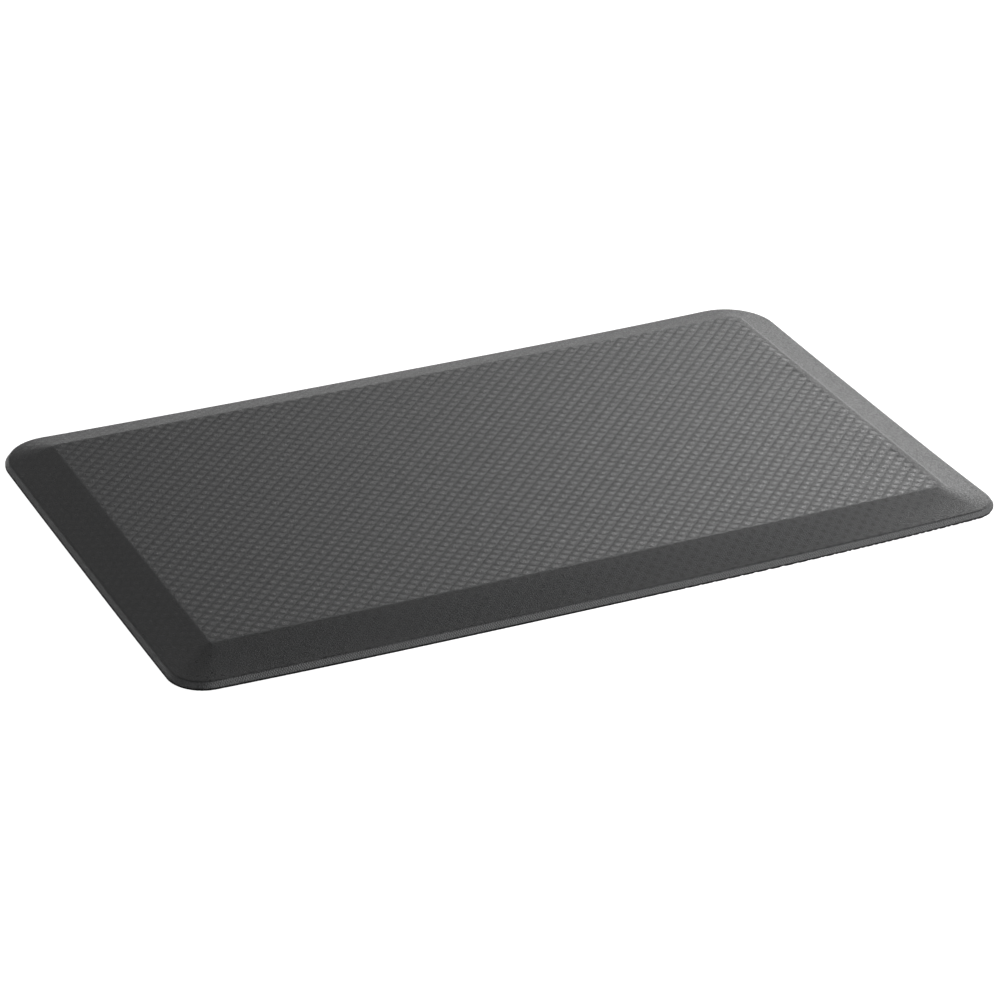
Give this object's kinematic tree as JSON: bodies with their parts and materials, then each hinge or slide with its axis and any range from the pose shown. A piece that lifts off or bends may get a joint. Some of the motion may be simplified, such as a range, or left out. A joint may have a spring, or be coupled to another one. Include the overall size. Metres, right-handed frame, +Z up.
{
  "type": "anti fatigue mat",
  "caption": "Flat rectangular standing mat with bevelled edges: an embossed vinyl cover sealed over a foam core on a non-slip base sheet, to ease long standing.",
  "frame": {"origin": "middle of the underside, where the mat rests on the floor", "axes": "+X along the mat's length, +Y across its width, +Z up through the standing field"},
  "size_m": [0.762, 0.4572, 0.019],
  "materials": {
    "cover_vinyl": "satin embossed vinyl",
    "core_foam": "fine closed-cell foam",
    "base_rubber": "matt non-slip sheet"
  },
  "bodies": {
    "root": {"top_cover": "cover_vinyl", "foam_core": "core_foam", "base_sheet": "base_rubber"}
  },
  "joints": []
}
